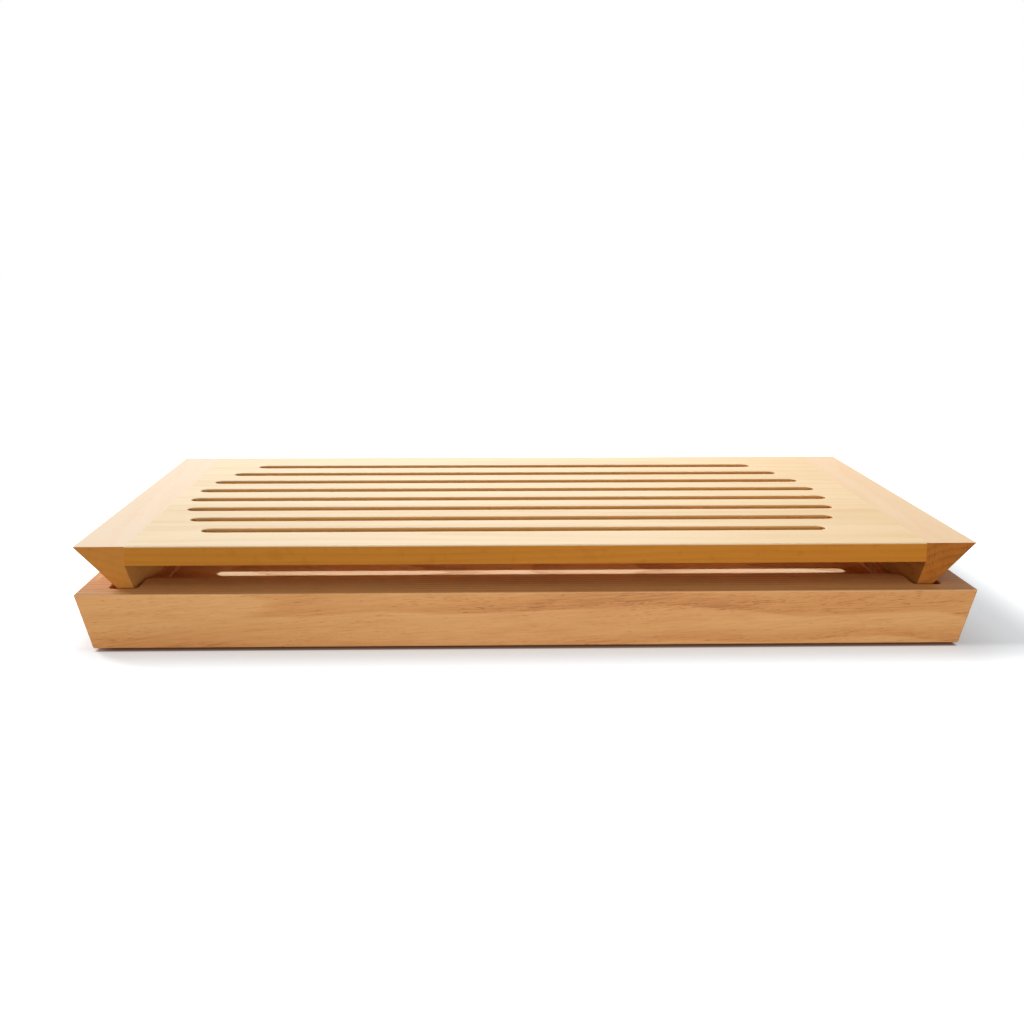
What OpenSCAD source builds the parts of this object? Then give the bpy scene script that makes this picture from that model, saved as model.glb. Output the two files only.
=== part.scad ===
// Slotted board that lifts off a shallow tray
// Millimetres, X to the right, Y to the back, Z up, origin under the middle of the tray on the table

/* [Slotted board] */
// Width of the top over its two sharp outer edges
board_w = 420; // [380:1:470]
// Depth from front to back
board_d = 260; // [236:1:290]
// Thickness of the slotted panel
panel_t = 9.3; // [8:0.1:13]
// Small flat on the long outer edges
edge_ease = 0.8; // [0.4:0.1:1.2]

/* [Slots] */
// Number of slots, always even so that a bar lies on the centre line
slot_count = 8; // [6:2:10]
// Width of each slot
slot_w = 9.5; // [7:0.5:11]
// Solid strip in front of the first slot and behind the last one
slot_strip = 30.75; // [26:0.25:36]
// Mean distance from the middle slots' tips to the end rails
slot_tip_gap = 12.8; // [10:0.2:24]
// Sideways place of the whole slot pattern
slot_shift = -5; // [-6:0.5:6]
// Radius of the arc that the slot tips follow
slot_arc_r = 222; // [190:1:320]
// Flat on the top edge of each slot
slot_ease = 0.8; // [0.4:0.1:1.2]

/* [Legs] */
// Clear height between the tray's top and the panel's underside
board_gap = 9.7; // [7:0.1:16]
// Outer face of each end rail, degrees from upright
leg_out_angle = 45; // [38:1:48]
// Inner face of each leg, degrees from upright
leg_in_angle = 19; // [12:1:24]
// Width of the foot of each leg
leg_foot_w = 4.6; // [3.6:0.1:8]

/* [Dowels] */
// Diameter of the dowels between panel and end rails
dowel_d = 5; // [4:0.5:6]
// Length of a dowel inside the panel
dowel_in_panel = 12; // [8:0.5:16]
// Length of a dowel inside the end rail
dowel_in_rail = 10.5; // [8:0.5:12]
// Air left at each end of a dowel
dowel_end_air = 0.5; // [0.3:0.1:1]
// Air around a dowel
dowel_air = 0.05; // [0.03:0.01:0.1]

/* [Tray] */
// Height of the wooden tray
tray_h = 25.3; // [22:0.1:34]
// Lean of the tray's end faces, degrees from upright
tray_end_angle = 17; // [8:1:22]
// How far the tray stands out in front of the board and behind it
tray_ledge = 14.2; // [8:0.2:24]
// Width of the tray's end wall along its top
tray_end_wall = 13; // [9:0.5:20]
// How far the well's front and back walls stand inside the board's edges
rim_inset = 17.8; // [12:0.2:24]
// Depth of the well below the tray's top
well_depth = 10; // [8:0.5:14]
// Depth of the ledges that the legs stand on
ledge_depth = 5; // [3.5:0.5:6]
// Radius in the well's corners
well_r = 6; // [4:0.5:9]
// Radius on the rim's corners beside the legs
rim_r = 4.5; // [3:0.5:9]
// Radius in the ledges' corners
ledge_r = 3; // [2:0.5:3.5]
// Flat left on the ledge between its step and the rim's end
ledge_lip = 1; // [0.6:0.1:2]

/* [Leg clearances] */
// Air between the leg's foot and the rim's end
leg_air_in = 0.8; // [0.5:0.1:1.5]
// Air outside the leg at the tray's top
leg_air_out = 2.7; // [1.5:0.1:4]
// Air in front of the leg and behind it
leg_air_end = 3.2; // [1.2:0.1:4]

/* [Feet] */
// Diameter of each foot
foot_d = 14; // [10:0.5:18]
// How far a foot sits up inside the tray
foot_seat = 2; // [1.5:0.1:3]
// How far a foot stands out below the tray
foot_proud = 1.2; // [0.8:0.1:2.5]
// Air around a foot in its bore
foot_air = 0.1; // [0.05:0.05:0.2]
// Place of the feet from the tray's bottom edges
foot_inset = 28; // [20:1:36]
// Flat on the foot's lower edge
foot_ease = 0.6; // [0.3:0.1:0.8]

/* [Hidden] */
$fn = 96;
over = 1;
tray_staves = 5;

// Heights
z_tray = foot_proud;
z_rim = z_tray + tray_h;
z_well = z_rim - well_depth;
z_ledge = z_rim - ledge_depth;
z_under = z_rim + board_gap;
z_top = z_under + panel_t;
z_dowel = z_under + panel_t / 2;

// Leg section
leg_h = z_top - z_ledge;
leg_low_h = z_under - z_ledge;
leg_run_out = leg_h * tan(leg_out_angle);
leg_run_in = leg_low_h * tan(leg_in_angle);
x_edge = board_w / 2;
x_foot_out = x_edge - leg_run_out;
x_foot_in = x_foot_out - leg_foot_w;
x_joint = x_foot_in + leg_run_in;
x_leg_rim = x_edge - (z_top - z_rim) * tan(leg_out_angle);

// Slot pattern
slot_pitch = (board_d - 2 * slot_strip - slot_w) / (slot_count - 1);
slot_half = x_joint - slot_tip_gap;
function slot_y(i) = (i - (slot_count - 1) / 2) * slot_pitch;
function slot_reach(y) = slot_half - slot_arc_r + sqrt(slot_arc_r * slot_arc_r - y * y);

// Panel staves, glued on the bars
y_board = board_d / 2;
y_glue_in = slot_pitch;
y_glue_out = 3 * slot_pitch;
y_dowel_mid = 2 * slot_pitch;
y_dowel_out = (y_glue_out + y_board) / 2;
dowel_rows = [-y_dowel_out, -y_dowel_mid, 0, y_dowel_mid, y_dowel_out];

// Tray plan
ledge_in = x_foot_in - leg_air_in;
ledge_out = x_leg_rim + leg_air_out;
ledge_w = ledge_out - ledge_in;
ledge_half_y = y_board + leg_air_end;
well_x = ledge_in - ledge_lip;
well_y = y_board - rim_inset;
tray_top_x = ledge_out + tray_end_wall;
tray_bottom_x = tray_top_x - tray_h * tan(tray_end_angle);
tray_y = y_board + tray_ledge;
tray_stave_w = 2 * tray_y / tray_staves;
y_tray_in = tray_stave_w / 2;
y_tray_out = 3 * tray_stave_w / 2;
foot_x = tray_bottom_x - foot_inset;
foot_y = tray_y - foot_inset;

pale_beech = [0.90, 0.78, 0.58];
rail_beech = [0.90, 0.75, 0.57];
tray_beech = [0.78, 0.56, 0.34];
dowel_beech = [0.82, 0.66, 0.44];
foot_rubber = [0.13, 0.12, 0.12];

// Sweeps of a flat outline
module along_x(x0, x1) {
  translate([x0, 0, 0])
    rotate([90, 0, 90])
      linear_extrude(height = x1 - x0)
        children();
}

module along_y(y0, y1) {
  translate([0, y1, 0])
    rotate([90, 0, 0])
      linear_extrude(height = y1 - y0)
        children();
}

module round_rect(x0, x1, half_y, r) {
  translate([x0 + r, -half_y])
    square([x1 - x0 - 2 * r, 2 * half_y]);
  translate([x0, -half_y + r])
    square([x1 - x0, 2 * half_y - 2 * r]);
  for (x = [x0 + r, x1 - r])
    for (y = [-half_y + r, half_y - r])
      translate([x, y])
        circle(r = r);
}

// Slots
module slot_cut(i) {
  y = slot_y(i);
  c = slot_reach(y) - slot_w / 2;
  r = slot_w / 2;
  r_ease = r + 2 * slot_ease;
  translate([slot_shift, y, 0]) {
    translate([0, 0, z_under - over])
      linear_extrude(height = panel_t + 2 * over) {
        translate([-c, -r])
          square([2 * c, slot_w]);
        translate([-c, 0])
          circle(r = r);
        translate([c, 0])
          circle(r = r);
      }
    along_x(-c, c)
      polygon([[-r, z_top - slot_ease], [r, z_top - slot_ease],
        [r_ease, z_top + slot_ease], [-r_ease, z_top + slot_ease]]);
    for (x = [-c, c])
      translate([x, 0, z_top - slot_ease])
        cylinder(h = 2 * slot_ease, r1 = r, r2 = r_ease);
  }
}

module all_slots() {
  for (i = [0:slot_count - 1])
    slot_cut(i);
}

// Dowels and their bores, on the right-hand joint
module dowel_row(d, in_panel, in_rail) {
  for (y = dowel_rows)
    translate([x_joint - in_panel, y, z_dowel])
      rotate([0, 90, 0])
        cylinder(h = in_panel + in_rail, d = d);
}

module dowel_bores() {
  dowel_row(dowel_d + 2 * dowel_air, dowel_in_panel + dowel_end_air, dowel_in_rail + dowel_end_air);
}

module both_bores() {
  dowel_bores();
  mirror([1, 0, 0])
    dowel_bores();
}

// Panel staves
module edge_stave_blank() {
  along_x(-x_joint, x_joint)
    polygon([[-y_glue_out, z_under], [-y_glue_out, z_top],
      [-y_board + edge_ease, z_top], [-y_board, z_top - edge_ease],
      [-y_board, z_under + edge_ease], [-y_board + edge_ease, z_under]]);
}

module inner_stave_blank(y0, y1) {
  translate([-x_joint, y0, z_under])
    cube([2 * x_joint, y1 - y0, panel_t]);
}

module cut_stave() {
  difference() {
    children();
    all_slots();
    both_bores();
  }
}

module board_stave_front() {
  color(pale_beech)
    cut_stave()
      edge_stave_blank();
}

module board_stave_front_inner() {
  color(pale_beech)
    cut_stave()
      inner_stave_blank(-y_glue_out, -y_glue_in);
}

module board_stave_middle() {
  color(pale_beech)
    cut_stave()
      inner_stave_blank(-y_glue_in, y_glue_in);
}

module board_stave_back_inner() {
  color(pale_beech)
    cut_stave()
      inner_stave_blank(y_glue_in, y_glue_out);
}

module board_stave_back() {
  color(pale_beech)
    cut_stave()
      mirror([0, 1, 0])
        edge_stave_blank();
}

// End rails, each with its leg in one piece
module rail_blank() {
  intersection() {
    along_y(-y_board, y_board)
      polygon([[x_joint, z_top], [x_edge - edge_ease / 2, z_top],
        [x_edge - edge_ease * tan(leg_out_angle) / 4, z_top - edge_ease / 4],
        [x_foot_out, z_ledge], [x_foot_in, z_ledge], [x_joint, z_under]]);
    along_x(x_foot_in - over, x_edge + over)
      polygon([[-y_board + edge_ease, z_top], [y_board - edge_ease, z_top],
        [y_board, z_top - edge_ease], [y_board, z_ledge],
        [-y_board, z_ledge], [-y_board, z_top - edge_ease]]);
  }
}

module right_end_rail() {
  color(rail_beech)
    difference() {
      rail_blank();
      dowel_bores();
    }
}

module left_end_rail() {
  mirror([1, 0, 0])
    right_end_rail();
}

module right_dowels() {
  color(dowel_beech)
    dowel_row(dowel_d, dowel_in_panel, dowel_in_rail);
}

module left_dowels() {
  mirror([1, 0, 0])
    right_dowels();
}

// Tray
module tray_section() {
  polygon([[-tray_bottom_x, z_tray], [tray_bottom_x, z_tray],
    [tray_top_x, z_rim], [-tray_top_x, z_rim]]);
}

module ledge_cut() {
  translate([0, 0, z_ledge])
    linear_extrude(height = ledge_depth + over) {
      round_rect(ledge_in, ledge_out, ledge_half_y, ledge_r);
      translate([0, -well_y])
        square([ledge_in + ledge_w / 2, 2 * well_y]);
      for (s = [-1, 1])
        difference() {
          translate([ledge_in - rim_r, s > 0 ? well_y : -well_y - rim_r])
            square([rim_r, rim_r]);
          translate([ledge_in - rim_r, s * (well_y + rim_r)])
            circle(r = rim_r);
        }
    }
}

module well_cut() {
  ledge_cut();
  mirror([1, 0, 0])
    ledge_cut();
  translate([0, 0, z_well])
    linear_extrude(height = well_depth + over)
      round_rect(-well_x, well_x, well_y, well_r);
}

module foot_bore() {
  translate([foot_x, -foot_y, z_tray - over])
    cylinder(h = foot_seat + over, d = foot_d + 2 * foot_air);
}

module edge_tray_stave() {
  difference() {
    intersection() {
      along_y(-tray_y, -y_tray_out)
        tray_section();
      along_x(-tray_top_x - over, tray_top_x + over)
        polygon([[-y_tray_out, z_tray], [-y_tray_out, z_rim],
          [-tray_y + edge_ease, z_rim], [-tray_y, z_rim - edge_ease],
          [-tray_y, z_tray + edge_ease], [-tray_y + edge_ease, z_tray]]);
    }
    well_cut();
    foot_bore();
    mirror([1, 0, 0])
      foot_bore();
  }
}

module inner_tray_stave(y0, y1) {
  difference() {
    along_y(y0, y1)
      tray_section();
    well_cut();
  }
}

module tray_stave_front() {
  color(tray_beech)
    edge_tray_stave();
}

module tray_stave_front_inner() {
  color(tray_beech)
    inner_tray_stave(-y_tray_out, -y_tray_in);
}

module tray_stave_middle() {
  color(tray_beech)
    inner_tray_stave(-y_tray_in, y_tray_in);
}

module tray_stave_back_inner() {
  color(tray_beech)
    inner_tray_stave(y_tray_in, y_tray_out);
}

module tray_stave_back() {
  color(tray_beech)
    mirror([0, 1, 0])
      edge_tray_stave();
}

// Feet
module foot_at(x, y) {
  r = foot_d / 2;
  color(foot_rubber)
    translate([x, y, 0])
      rotate_extrude()
        polygon([[0, 0], [r - foot_ease, 0], [r, foot_ease],
          [r, foot_proud + foot_seat], [0, foot_proud + foot_seat]]);
}

module foot_front_left() {
  foot_at(-foot_x, -foot_y);
}

module foot_front_right() {
  foot_at(foot_x, -foot_y);
}

module foot_back_left() {
  foot_at(-foot_x, foot_y);
}

module foot_back_right() {
  foot_at(foot_x, foot_y);
}

board_stave_front();
board_stave_front_inner();
board_stave_middle();
board_stave_back_inner();
board_stave_back();
left_end_rail();
right_end_rail();
left_dowels();
right_dowels();
tray_stave_front();
tray_stave_front_inner();
tray_stave_middle();
tray_stave_back_inner();
tray_stave_back();
foot_front_left();
foot_front_right();
foot_back_left();
foot_back_right();
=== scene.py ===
import bmesh
import bpy
import math
from mathutils import Matrix, Vector


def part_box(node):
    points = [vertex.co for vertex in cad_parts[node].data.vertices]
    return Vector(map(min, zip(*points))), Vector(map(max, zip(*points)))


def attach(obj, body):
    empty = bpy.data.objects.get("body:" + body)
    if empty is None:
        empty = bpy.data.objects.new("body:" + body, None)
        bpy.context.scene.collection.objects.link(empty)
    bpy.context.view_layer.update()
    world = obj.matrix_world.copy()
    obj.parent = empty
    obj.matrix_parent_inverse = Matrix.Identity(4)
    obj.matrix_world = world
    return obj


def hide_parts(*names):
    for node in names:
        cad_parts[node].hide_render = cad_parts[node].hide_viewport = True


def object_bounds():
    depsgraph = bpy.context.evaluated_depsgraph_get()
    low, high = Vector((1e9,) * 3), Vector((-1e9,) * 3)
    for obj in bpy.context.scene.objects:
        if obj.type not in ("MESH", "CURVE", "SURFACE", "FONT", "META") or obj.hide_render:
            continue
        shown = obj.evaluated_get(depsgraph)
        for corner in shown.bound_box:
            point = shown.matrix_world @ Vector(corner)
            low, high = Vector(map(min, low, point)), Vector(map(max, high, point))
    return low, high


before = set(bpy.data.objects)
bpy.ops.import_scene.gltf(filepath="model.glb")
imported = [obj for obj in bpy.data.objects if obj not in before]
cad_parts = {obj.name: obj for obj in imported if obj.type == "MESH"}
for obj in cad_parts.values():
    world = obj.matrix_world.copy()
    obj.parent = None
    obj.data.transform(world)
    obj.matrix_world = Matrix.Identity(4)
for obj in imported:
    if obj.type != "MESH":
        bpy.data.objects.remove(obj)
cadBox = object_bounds()
mm = 0.001


# Camera, at the photograph's height and distance

view = {
    "place": (-26.8 * mm, -752.7 * mm, 184.8 * mm),
    "turn": 1.745,       # degrees to the right of straight ahead
    "tilt": 11.237,      # degrees below level
    "roll": 0.101,
    "lens": 48.407,
    "sensor": 36.0,      # width of the square image, in millimetres like the lens
    "clip": (0.01, 50.0),
}


def setCamera(view):
    lens = bpy.data.cameras.new("camera")
    lens.lens = view["lens"]
    lens.sensor_width = view["sensor"]
    lens.sensor_fit = "HORIZONTAL"
    lens.clip_start, lens.clip_end = view["clip"]
    camera = bpy.data.objects.new("camera", lens)
    turn = Matrix.Rotation(math.radians(-view["turn"]), 4, "Z")
    tilt = Matrix.Rotation(math.radians(90.0 - view["tilt"]), 4, "X")
    roll = Matrix.Rotation(math.radians(view["roll"]), 4, "Z")
    camera.matrix_world = Matrix.Translation(view["place"]) @ turn @ tilt @ roll
    bpy.context.collection.objects.link(camera)
    bpy.context.scene.camera = camera


setCamera(view)
bpy.context.scene.view_settings.view_transform = "Standard"
print("camera set")


# Small helpers for node trees

def plug(tree, socket, value):
    if isinstance(value, bpy.types.NodeSocket):
        tree.links.new(value, socket)
    else:
        socket.default_value = value


def addNode(tree, kind, plugs=None, **settings):
    made = tree.nodes.new(kind)
    for name, value in settings.items():
        setattr(made, name, value)
    for name, value in (plugs or {}).items():
        plug(tree, made.inputs[name], value)
    return made


def calc(tree, how, *values, clamp=False):
    made = addNode(tree, "ShaderNodeMath", operation=how, use_clamp=clamp)
    for socket, value in zip(made.inputs, values):
        plug(tree, socket, value)
    return made.outputs[0]


def vectorCalc(tree, how, *values):
    made = addNode(tree, "ShaderNodeVectorMath", operation=how)
    sockets = [made.inputs["Scale"]] if how == "SCALE" else list(made.inputs)[1:]
    plug(tree, made.inputs[0], values[0])
    for socket, value in zip(sockets, values[1:]):
        plug(tree, socket, value)
    return made.outputs["Value" if how == "LENGTH" else "Vector"]


def combine(tree, x, y, z):
    return addNode(tree, "ShaderNodeCombineXYZ", {"X": x, "Y": y, "Z": z}).outputs[0]


def separate(tree, vector):
    return addNode(tree, "ShaderNodeSeparateXYZ", {"Vector": vector}).outputs


def blendColour(tree, how, amount, under, over):
    made = addNode(tree, "ShaderNodeMix", data_type="RGBA", blend_type=how)
    plug(tree, made.inputs["Factor"], amount)
    # the colour sockets, which share their names with others
    plug(tree, made.inputs[6], under)
    plug(tree, made.inputs[7], over)
    return made.outputs[2]


def softStep(tree, value, low, high):
    plugs = {"Value": value, "From Min": low, "From Max": high}
    return addNode(tree, "ShaderNodeMapRange", plugs, interpolation_type="SMOOTHSTEP").outputs["Result"]


def colour(red, green, blue):
    # 8-bit screen colour to the linear value that a shader takes
    def straighten(value):
        share = value / 255.0
        return share / 12.92 if share <= 0.04045 else ((share + 0.055) / 1.055) ** 2.4
    return (straighten(red), straighten(green), straighten(blue), 1.0)


# Light, floor and background

white = (1.0, 1.0, 1.0, 1.0)
studio = {
    "skyStrength": 0.23,
    "aim": (0.0, 0.0, 0.03),
    "lamps": {
        # behind, so that the board shades the tray's rim
        "keyLamp": {"place": (0.05, 1.85, 1.25), "size": (0.8, 0.8), "power": 30.0},
        "sideLamp": {"place": (-2.50, 2.20, 1.40), "size": (1.2, 1.2), "power": 115.0},
        "fillLamp": {"place": (0.06, -0.80, 0.11), "size": (0.3, 0.12), "power": 2.2},
        # over the board, for the light that falls through its slots
        "topLamp": {"place": (-0.145, -0.041, 0.385), "size": (0.37, 0.222), "power": 0.66,
                    "spread": 3.0, "tint": (0.36, 0.56, 1.0)},
    },
    "floorSize": 12.0,
    "floorRoughness": 0.9,
    "floorColour": colour(206, 212, 216),
    "floorUnderShade": colour(176, 128, 84),   # painted shade: a brown floor under the tray, standing for the shadow that the wood colours
    "floorLift": (0.30, 0.44),            # painted light: a glow added to what the camera sees, beside the part and before it, lightening the shadow more before it
    "floorDark": (0.197, 0.1442),         # half size of the part's base, under which nothing is added
    "floorEdge": 0.002,                   # metres from there to the lifted floor
    "floorSoft": 0.010,                   # metres from the floor beside to the floor before
    "floorWhite": (0.050, 0.045),         # metres beside and before the part, to where it is white
    # painted light: the glow's middle lies to the right, so the floor left of the part is whiter
    "floorShift": (0.021, 0.0, 0.0),
}


def seenDirectly(tree):
    # 1 for what the camera, a mirror or clear glass sees
    rays = addNode(tree, "ShaderNodeLightPath").outputs
    seen = calc(tree, "MAXIMUM", rays["Is Camera Ray"], rays["Is Glossy Ray"])
    return calc(tree, "MAXIMUM", seen, rays["Is Transmission Ray"])


def areaLamp(name, aim, place, size, power, spread=180.0, tint=(1.0, 1.0, 1.0)):
    lamp = bpy.data.lights.new(name, "AREA")
    lamp.shape = "RECTANGLE"
    lamp.size, lamp.size_y = size
    lamp.energy = power
    lamp.spread = math.radians(spread)
    lamp.color = tint
    holder = bpy.data.objects.new(name, lamp)
    turn = Vector((0.0, 0.0, 1.0)).rotation_difference(Vector(place) - Vector(aim))
    holder.matrix_world = Matrix.Translation(place) @ turn.to_matrix().to_4x4()
    bpy.context.collection.objects.link(holder)
    return holder


def setStudio(studio):
    world = bpy.data.worlds.new("studio")
    world.use_nodes = True
    tree = world.node_tree
    sky = tree.nodes["Background"]
    sky.inputs["Color"].default_value = white
    seen = seenDirectly(tree)
    strength = calc(tree, "MULTIPLY_ADD", seen, 1.0 - studio["skyStrength"], studio["skyStrength"])
    plug(tree, sky.inputs["Strength"], strength)
    bpy.context.scene.world = world

    lamps = {}
    for name, lamp in studio["lamps"].items():
        lamps[name] = areaLamp(name, studio["aim"], **lamp)
    lamps["topLamp"].light_linking.receiver_collection = underSlots

    half = studio["floorSize"] / 2.0
    corners = [(-half, -half, 0.0), (half, -half, 0.0), (half, half, 0.0), (-half, half, 0.0)]
    mesh = bpy.data.meshes.new("floor")
    mesh.from_pydata(corners, [], [(0, 1, 2, 3)])
    floor = bpy.data.objects.new("floor", mesh)
    bpy.context.collection.objects.link(floor)
    material = bpy.data.materials.new("floorPaper")
    material.use_nodes = True
    tree = material.node_tree
    paper = tree.nodes["Principled BSDF"]
    paper.inputs["Roughness"].default_value = studio["floorRoughness"]
    paper.inputs["Specular IOR Level"].default_value = 0.0
    paper.inputs["Emission Color"].default_value = white
    spot = addNode(tree, "ShaderNodeTexCoord").outputs["Object"]

    def beyond(corner, reach, shift=(0.0, 0.0, 0.0)):
        # 0 inside a rectangle, 1 at the reach outside it
        away = vectorCalc(tree, "ABSOLUTE", vectorCalc(tree, "SUBTRACT", spot, shift))
        away = vectorCalc(tree, "MAXIMUM", vectorCalc(tree, "SUBTRACT", away, corner), (0.0, 0.0, 0.0))
        away = vectorCalc(tree, "DIVIDE", away, reach)
        return softStep(tree, vectorCalc(tree, "LENGTH", away), 0.0, 1.0)

    beside, before = studio["floorLift"]
    baseX, baseY = studio["floorDark"]
    edge = studio["floorEdge"]
    outside = beyond((baseX, baseY, 0.0), (edge, edge, 1.0))
    # painted shade: the floor under the part's base takes the brown colour
    tint = blendColour(tree, "MIX", outside, studio["floorUnderShade"], studio["floorColour"])
    plug(tree, paper.inputs["Base Color"], tint)
    near = calc(tree, "MULTIPLY", outside, beside)
    soft = studio["floorSoft"]
    front = beyond((half, half + baseY - soft / 2.0, 0.0), (1.0, soft, 1.0), (0.0, half, 0.0))
    near = calc(tree, "MULTIPLY_ADD", front, before - beside, near)
    fade = beyond(tuple(cadBox[1]), studio["floorWhite"] + (1.0,), studio["floorShift"])
    lift = calc(tree, "MULTIPLY_ADD", fade, calc(tree, "SUBTRACT", 1.0, near), near)
    plug(tree, paper.inputs["Emission Strength"], calc(tree, "MULTIPLY", seenDirectly(tree), lift))
    mesh.materials.append(material)


underSlots = bpy.data.collections.new("underSlots")
setStudio(studio)
print("light and floor set")


# Beech, as a solid log that every face cuts through

woodLayers = {
    # millimetres along the grain and across it, detail, and a shift that keeps the layers apart
    "wander": (260.0, 60.0, 2.0, 0.0),
    "ringWander": (400.0, 22.0, 2.0, 7.0),
    "crowd": (45.0, 9.0, 2.0, 31.0),
    "fibre": (16.0, 0.6, 4.0, 3.0),
    "band": (240.0, 9.0, 3.0, 11.0),
    "cloud": (120.0, 40.0, 2.0, 19.0),
}
woodShape = {
    "noiseRoughness": 0.6,
    "ringStart": 0.25,           # where a ring starts to darken, as a share of its width
    "ringLine": 0.93,            # where it is darkest
    "crowding": 0.35,            # of the flecks
    "fleckEdge": (0.60, 0.74),
    "wornFrom": 0.15,
    "fibreSheen": 0.2,
    "fleckSheen": -0.08,
    "fleckRelief": -0.6,
    "ringRelief": -0.25,
    "reliefHeight": 0.15 * mm,
}


def streaks(tree, log, layer):
    # noise drawn out along the grain
    length, width, detail, shift = woodLayers[layer]
    scale = (1.0 / length, 1.0 / width, 1.0 / width)
    spread = vectorCalc(tree, "MULTIPLY_ADD", log, scale, (shift, shift, shift))
    plugs = {"Vector": spread, "Scale": 1.0, "Detail": detail, "Roughness": woodShape["noiseRoughness"]}
    return addNode(tree, "ShaderNodeTexNoise", plugs).outputs


def ramp(tree, factor, stops):
    made = addNode(tree, "ShaderNodeValToRGB", {"Fac": factor})
    bar = made.color_ramp.elements
    while len(bar) < len(stops):
        bar.new(0.5)
    for element, (place, tint) in zip(bar, stops):
        element.position = place
        element.color = tint
    return made.outputs["Color"]


def faceMark(tree, name):
    return addNode(tree, "ShaderNodeAttribute", attribute_name=name).outputs


def beech(name, look):
    material = bpy.data.materials.new(name)
    material.use_nodes = True
    tree = material.node_tree
    shader = tree.nodes["Principled BSDF"]

    # log coordinates in millimetres: along the grain, then across it from the pith
    spot = addNode(tree, "ShaderNodeTexCoord").outputs["Object"]
    place = vectorCalc(tree, "SCALE", spot, 1.0 / mm)
    place = vectorCalc(tree, "SUBTRACT", place, faceMark(tree, "pith")["Vector"])
    if look["grain"] == "Y":
        x, y, z = separate(tree, place)
        place = combine(tree, y, x, z)
    along = separate(tree, place)[0]
    aside = calc(tree, "MULTIPLY", along, look["lean"])
    upward = calc(tree, "MULTIPLY", along, look["rise"])
    place = vectorCalc(tree, "ADD", place, combine(tree, 0.0, aside, upward))

    wander = streaks(tree, place, "wander")["Color"]
    wander = vectorCalc(tree, "SUBTRACT", wander, (0.5, 0.5, 0.5))
    place = vectorCalc(tree, "MULTIPLY_ADD", wander, (0.0, look["wander"], look["wander"]), place)
    along, across, up = separate(tree, place)
    radius = vectorCalc(tree, "LENGTH", combine(tree, 0.0, across, up))
    around = calc(tree, "MULTIPLY", calc(tree, "ARCTAN2", across, up), radius)

    # growth rings: a slow rise to a thin darker line
    rings = calc(tree, "DIVIDE", radius, look["ringWidth"])
    rings = calc(tree, "ADD", rings, streaks(tree, place, "ringWander")["Fac"])
    share = calc(tree, "FRACT", rings)
    darker = softStep(tree, share, woodShape["ringStart"], woodShape["ringLine"])
    lighter = softStep(tree, share, woodShape["ringLine"], 1.0)
    ring = calc(tree, "MULTIPLY", darker, calc(tree, "SUBTRACT", 1.0, lighter))

    # ray flecks: short dashes along the grain, thin across the rings
    sheet = combine(tree, *[calc(tree, "DIVIDE", way, size)
                            for way, size in zip((along, around, radius), look["fleck"])])
    plugs = {"Vector": sheet, "Scale": 1.0, "Detail": 1.0}
    dash = addNode(tree, "ShaderNodeTexNoise", plugs).outputs["Fac"]
    crowd = calc(tree, "SUBTRACT", streaks(tree, place, "crowd")["Fac"], 0.5)
    dash = calc(tree, "MULTIPLY_ADD", crowd, woodShape["crowding"], dash)
    fleck = softStep(tree, dash, *woodShape["fleckEdge"])

    fibre = streaks(tree, place, "fibre")["Fac"]
    band = streaks(tree, place, "band")["Fac"]
    cloud = streaks(tree, place, "cloud")["Fac"]

    depth = calc(tree, "MULTIPLY_ADD", ring, look["ringDepth"], 0.5)
    for layer, amount in ((fibre, "fibreDepth"), (band, "bandDepth"), (cloud, "cloudDepth")):
        depth = calc(tree, "MULTIPLY_ADD", calc(tree, "SUBTRACT", layer, 0.5), look[amount], depth)
    depth = calc(tree, "MULTIPLY_ADD", fleck, look["fleckDepth"], depth)
    depth = calc(tree, "ADD", depth, faceMark(tree, "tone")["Fac"])

    tint = ramp(tree, depth, look["tones"])
    # painted shade: faces that do not face up take darker, more orange copies of the tones
    if "shadedSideTones" in look:
        shadedSideTint = ramp(tree, depth, look["shadedSideTones"])
        tint = blendColour(tree, "MIX", faceMark(tree, "side")["Fac"], tint, shadedSideTint)
    tint = blendColour(tree, "MULTIPLY", faceMark(tree, "endGrain")["Fac"], tint, look["endTint"])
    # painted shade: faces that take a share of the side shade, such as the slot walls, get a yellower
    # tint
    tint = blendColour(tree, "MULTIPLY", faceMark(tree, "wall")["Fac"], tint, look["wallShadeTint"])
    worn = calc(tree, "SUBTRACT", band, woodShape["wornFrom"])
    worn = calc(tree, "MULTIPLY", faceMark(tree, "eased")["Fac"], worn)
    tint = blendColour(tree, "MIX", worn, tint, look["wornTint"])
    # painted light: the colour runs from lighter and cooler at the left to warmer at the right, as the
    # light falls across the board
    if "paintedLightDrift" in look:
        reach = cadBox[1][0]
        share = softStep(tree, separate(tree, spot)[0], -reach, reach)
        paintedLightDrift = blendColour(tree, "MIX", share, *look["paintedLightDrift"])
        tint = blendColour(tree, "MULTIPLY", 1.0, tint, paintedLightDrift)
    plug(tree, shader.inputs["Base Color"], tint)

    fibreSheen = woodShape["fibreSheen"]
    sheen = calc(tree, "MULTIPLY_ADD", fibre, fibreSheen, look["roughness"] - fibreSheen / 2.0)
    sheen = calc(tree, "MULTIPLY_ADD", fleck, woodShape["fleckSheen"], sheen)
    plug(tree, shader.inputs["Roughness"], sheen)
    shader.inputs["Specular IOR Level"].default_value = look["gloss"]

    relief = calc(tree, "MULTIPLY_ADD", fleck, woodShape["fleckRelief"], fibre)
    relief = calc(tree, "MULTIPLY_ADD", ring, woodShape["ringRelief"], relief)
    plugs = {"Height": relief, "Strength": look["bump"], "Distance": woodShape["reliefHeight"]}
    bump = addNode(tree, "ShaderNodeBump", plugs)
    plug(tree, shader.inputs["Normal"], bump.outputs["Normal"])
    return material


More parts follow.
